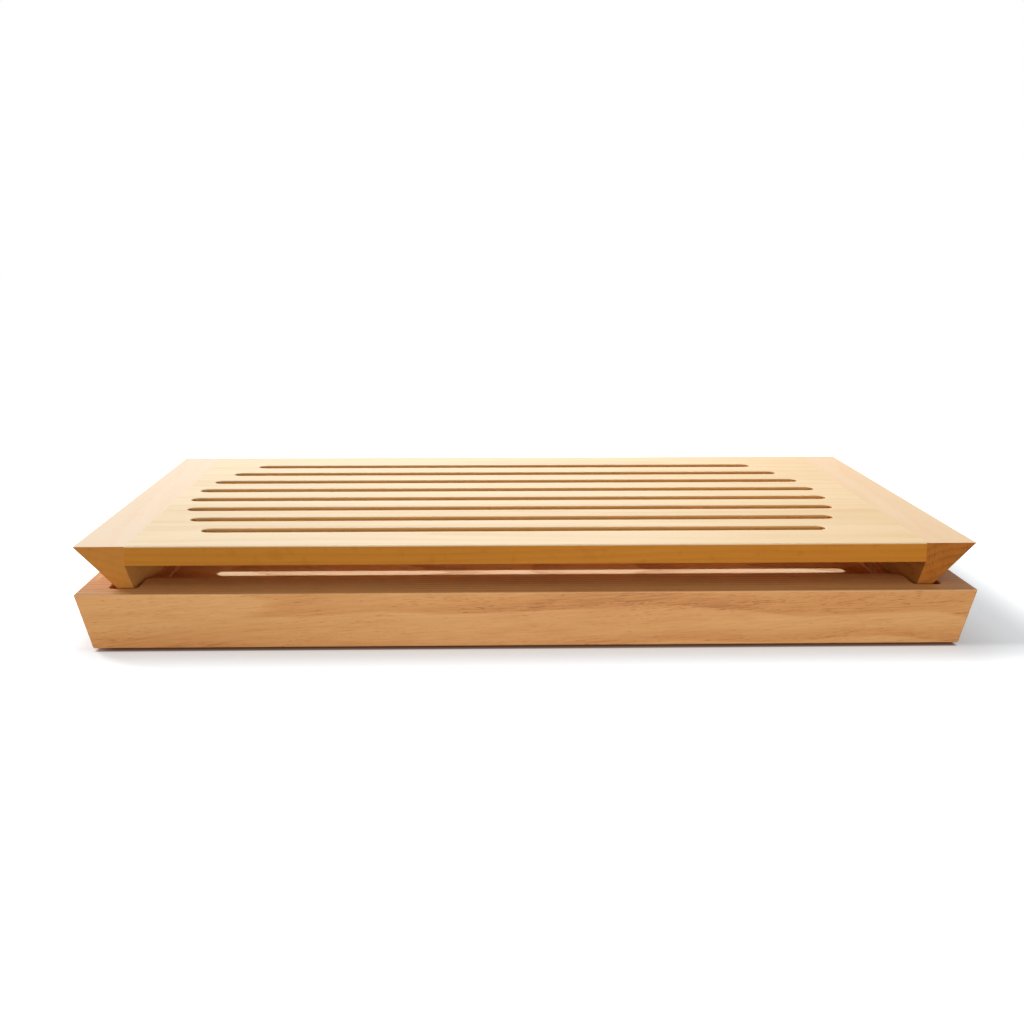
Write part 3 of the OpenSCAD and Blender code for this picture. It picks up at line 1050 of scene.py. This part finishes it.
def wellHalf(glueY, drawIn):
    # left half of the well's edge, from the glue line to its front wall
    t = tray
    r = t["wellRadius"]
    path = [(-t["wellX"] + drawIn, glueY)]
    path += arc(-t["wellX"] + r, -t["wellY"] + r, r - drawIn, 180, 270, t["arcSteps"])
    return path


def outsideHalf(glueY, frontY, z, setBack):
    # left half of the stave's outer edge, from the glue line to the front corner
    x = -endX(z) + setBack
    r = max(tray["cornerRadius"] - setBack, leastRadius)
    path = [(x, glueY)]
    path += arc(x + r, frontY + setBack + r, r, 180, 270, tray["easeSteps"])
    return path


def atHeight(path, z):
    return [(x, y, z) for x, y in path]


def bridgeRows(bm, rows):
    for first, second in zip(rows, rows[1:]):
        bridge(bm, first, second, closed=False)


def outerTrayStave(bm, frontY, glueY):
    steps = quarterSteps(tray["edgeRadius"], tray["easeSteps"])

    def layWhole(half, z):
        return lay(bm, atHeight(half + mirrored(half), z))

    levels = [(rimZ - drop, back) for back, drop in steps]
    levels += [(baseZ + drop, back) for back, drop in reversed(steps)]
    outsideRows = [layWhole(outsideHalf(glueY, frontY, z, back), z) for z, back in levels]
    bridgeRows(bm, outsideRows)
    bm.faces.new(outsideRows[-1])

    rimRows = [layWhole(rimHalf(glueY, back), rimZ - drop) for back, drop in steps]
    bridgeRows(bm, rimRows)
    bm.faces.new(outsideRows[0] + list(reversed(rimRows[0])))

    # ledges: the rim's wall goes down to them, and to the well's floor between them
    half = rimHalf(glueY, 0.0)
    ledgeRow = layWhole(half, ledgeZ)
    bridge(bm, rimRows[-1], ledgeRow, closed=False)
    left, right = ledgeRow[:len(half)], ledgeRow[len(half):]
    well = wellHalf(glueY, 0.0)
    leftStep = lay(bm, atHeight(well[:-1], ledgeZ)) + [left[-1]]
    rightStep = [right[0]] + lay(bm, atHeight(mirrored(well[:-1]), ledgeZ))
    bm.faces.new(left + list(reversed(leftStep[:-1])))
    bm.faces.new(right + list(reversed(rightStep[1:])))

    coveSteps = quarterSteps(tray["cove"], tray["easeSteps"])
    wellRows = [leftStep + rightStep]
    for inward, up in reversed(coveSteps):
        # the cove is hollow: it starts upright and ends flat
        drawIn, rise = tray["cove"] - up, tray["cove"] - inward
        wellRows.append(layWhole(wellHalf(glueY, drawIn), wellZ + rise))
    bridgeRows(bm, wellRows)
    bm.faces.new(wellRows[-1])
    bmesh.ops.holes_fill(bm, edges=[edge for edge in bm.edges if edge.is_boundary], sides=0)


def innerTraySection():
    steps = quarterSteps(tray["edgeRadius"], tray["easeSteps"])
    coveSteps = quarterSteps(tray["cove"], tray["easeSteps"])
    half = [(-endX(baseZ + drop) + back, baseZ + drop) for back, drop in steps]
    half += [(-endX(rimZ - drop) + back, rimZ - drop) for back, drop in reversed(steps)]
    half += [(-tray["ledgeOut"] - back, rimZ - drop) for back, drop in steps]
    half += [(-tray["ledgeOut"], ledgeZ), (-tray["wellX"], ledgeZ)]
    half += [(-tray["wellX"] + tray["cove"] - up, wellZ + tray["cove"] - inward)
             for inward, up in reversed(coveSteps)]
    return half + mirrored(half)


def innerTrayStave(bm, frontY, backY):
    section = innerTraySection()
    first = lay(bm, [(x, frontY, z) for x, z in section])
    second = lay(bm, [(x, backY, z) for x, z in section])
    bridge(bm, first, second)
    bm.faces.new(first)
    bm.faces.new(second)


def makeTray():
    for node, wood in trayStaves.items():
        low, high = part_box(node)
        bm = bmesh.new()
        if node == "tray_stave_front":
            outerTrayStave(bm, low.y, high.y)
        elif node == "tray_stave_back":
            outerTrayStave(bm, -high.y, -low.y)
            flip = Matrix.Scale(-1.0, 4, (0.0, 1.0, 0.0))
            bmesh.ops.transform(bm, matrix=flip, verts=bm.verts[:])
        else:
            innerTrayStave(bm, low.y, high.y)
        bmesh.ops.remove_doubles(bm, verts=bm.verts[:], dist=weldReach)
        piece = objectFromFaces("routed_" + node, bm)
        underSlots.objects.link(piece)

        bores = []
        for foot in trayFeet:
            footLow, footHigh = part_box(foot)
            middle = (footLow + footHigh) / 2.0
            if low.y < middle.y < high.y:
                mouth = (middle.x, middle.y, baseZ - boreStart)
                bores.append((mouth, (middle.x, middle.y, baseZ + tray["footSeat"])))
        if bores:
            drill(piece, bores, tray["footBore"])
        finishPiece(piece, node, "tray", trayBeech, growth(node, wood, "X"))


makeTray()
print("tray made")


# Rubber feet with ring ribs underneath

footSizes = {"Edge Radius": 0.8 * mm, "Ribs": 4.0, "Rib Depth": 0.5 * mm}
footTurns = 64
footRows = 61
# one line from the middle of the sole, round the edge and over the top: where each part ends, as a share
footLine = {"sole": 0.6, "edge": 0.8, "wall": 0.9}


def ribbedFoot(material):
    numbers = ("Radius", "Height", "Edge Radius", "Ribs", "Rib Depth")
    tree, given = startTree("ribbedFoot", [("Geometry", "Geometry")], numbers)
    column, row = stored(tree, "column"), stored(tree, "row")
    sole = calc(tree, "DIVIDE", row, footLine["sole"], clamp=True)
    bend = rowShare(tree, row, footLine["sole"], footLine["edge"])
    wall = rowShare(tree, row, footLine["edge"], footLine["wall"])
    top = rowShare(tree, row, footLine["wall"], 1.0)
    bend = calc(tree, "MULTIPLY", bend, math.pi / 2.0)
    soleRadius = calc(tree, "SUBTRACT", given["Radius"], given["Edge Radius"])
    radius = calc(tree, "MULTIPLY", soleRadius, sole)
    radius = calc(tree, "MULTIPLY_ADD", given["Edge Radius"], calc(tree, "SINE", bend), radius)
    radius = calc(tree, "MULTIPLY", radius, calc(tree, "SUBTRACT", 1.0, top))
    rib = wave(tree, "COSINE", calc(tree, "MULTIPLY", sole, given["Ribs"]))
    rib = calc(tree, "MULTIPLY", calc(tree, "MULTIPLY_ADD", rib, -0.5, 0.5), given["Rib Depth"])
    lift = calc(tree, "SUBTRACT", 1.0, calc(tree, "COSINE", bend))
    lift = calc(tree, "MULTIPLY", given["Edge Radius"], lift)
    z = calc(tree, "ADD", rib, lift)
    z = calc(tree, "MULTIPLY_ADD", calc(tree, "SUBTRACT", given["Height"], given["Edge Radius"]), wall, z)
    x = calc(tree, "MULTIPLY", radius, wave(tree, "COSINE", column))
    y = calc(tree, "MULTIPLY", radius, wave(tree, "SINE", column))
    foot = moveTo(tree, unrolledGrid(tree, footTurns, footRows), x, y, z)
    plugs = {"Points": given["Geometry"], "Instance": foot}
    feet = addNode(tree, "GeometryNodeInstanceOnPoints", plugs).outputs[0]
    endTree(tree, feet, material)
    return tree


def makeFeet():
    tree = ribbedFoot(rubber)
    for node in trayFeet:
        low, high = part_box(node)
        middle = (low + high) / 2.0
        sizes = dict(footSizes, Radius=(high.x - low.x) / 2.0, Height=high.z - low.z)
        piece = growPiece("ribbed_" + node, tree, sizes, [(middle.x, middle.y, low.z)])
        finishPiece(piece, node, "tray", rubber)


makeFeet()
print("feet made")
